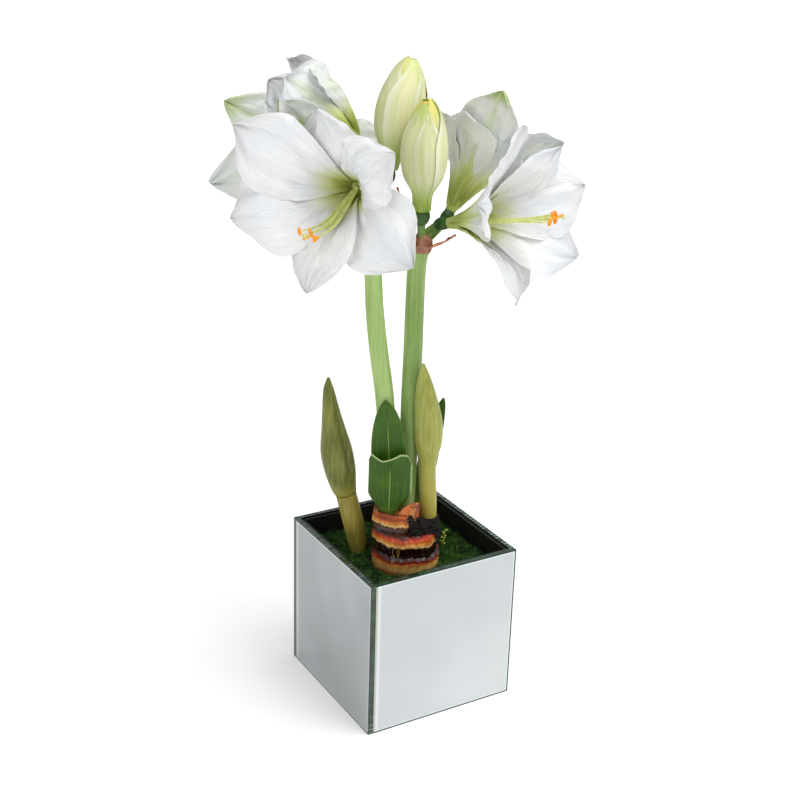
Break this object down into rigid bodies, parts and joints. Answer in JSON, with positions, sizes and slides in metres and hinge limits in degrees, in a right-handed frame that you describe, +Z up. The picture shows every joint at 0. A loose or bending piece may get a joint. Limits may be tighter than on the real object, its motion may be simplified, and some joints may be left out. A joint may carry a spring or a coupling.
{
  "type": "potted amaryllis",
  "caption": "Flowering amaryllis with large white blooms on upright green scapes, growing from a layered bulb in moss in a cube pot of mirror glass.",
  "frame": {"origin": "middle of the pot's underside, on the surface that the pot stands on", "axes": "+Z up along the plant; X and Y square to the pot's faces, with -Y and -X toward the two faces seen in the picture"},
  "size_m": [0.2727, 0.2455, 0.5782],
  "materials": {
    "mirror_glass": "mirror panels of the pot, with green cut edges",
    "base_board": "matt dark board",
    "liner_black": "matt black plastic liner",
    "soil_dark": "dark potting soil",
    "moss_green": "dark green moss",
    "bulb_tunic": "dry layered bulb skin, orange over dark brown",
    "stem_green": "smooth green scape",
    "leaf_green": "dark green leaf",
    "young_green": "yellow-green young scape",
    "bud_green": "olive green spathe",
    "petal_white": "white petal",
    "bud_cream": "cream and green closed flower",
    "stamen_yellow": "pale filaments with orange anthers",
    "bract_brown": "dry papery bract"
  },
  "bodies": {
    "root": {"pot_panel_front": "mirror_glass", "pot_panel_right": "mirror_glass", "pot_panel_back": "mirror_glass", "pot_panel_left": "mirror_glass", "pot_base": "base_board", "pot_liner": "liner_black", "soil": "soil_dark", "moss": "moss_green", "bulb": "bulb_tunic", "scape_left": "stem_green", "scape_right": "stem_green", "bract_left_a": "bract_brown", "bract_left_b": "bract_brown", "bract_right_a": "bract_brown", "bract_right_b": "bract_brown", "leaf_front": "leaf_green", "leaf_back": "leaf_green", "leaf_right": "leaf_green", "young_scape_left": "young_green", "young_bud_left": "bud_green", "young_scape_right": "young_green", "bloom_left_front": "petal_white", "bloom_left_front_stamens": "stamen_yellow", "bloom_left_back": "petal_white", "bloom_left_back_stamens": "stamen_yellow", "bloom_left_top": "petal_white", "bloom_right_front": "petal_white", "bloom_right_front_stamens": "stamen_yellow", "bloom_right_back": "petal_white", "bloom_right_back_stamens": "stamen_yellow", "bud_left": "bud_cream", "bud_right": "bud_cream"}
  },
  "joints": []
}
